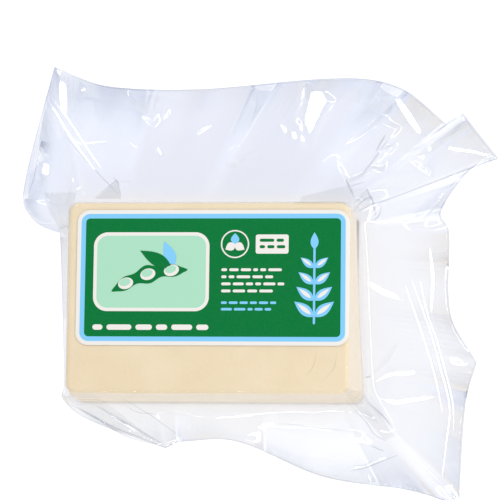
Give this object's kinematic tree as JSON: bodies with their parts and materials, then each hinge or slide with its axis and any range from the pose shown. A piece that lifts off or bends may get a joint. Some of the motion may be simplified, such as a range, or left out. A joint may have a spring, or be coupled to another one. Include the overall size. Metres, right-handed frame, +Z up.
{
  "type": "vacuum packed tofu block",
  "caption": "Block of firm tofu sealed in a clear vacuum pouch, with wide crumpled film margins and a green printed panel on top.",
  "frame": {"origin": "centre of the tofu block's flat base", "axes": "+X along the block's long side, +Y towards the head of the print, +Z up through the printed panel"},
  "size_m": [0.1726, 0.1576, 0.0356],
  "materials": {
    "film": "clear, glossy and creased, over cream tofu",
    "tofu": "damp, matte, fine grained",
    "print": "glossy ink under film"
  },
  "bodies": {
    "root": {"pouch": "film", "label": "print"}
  },
  "joints": []
}
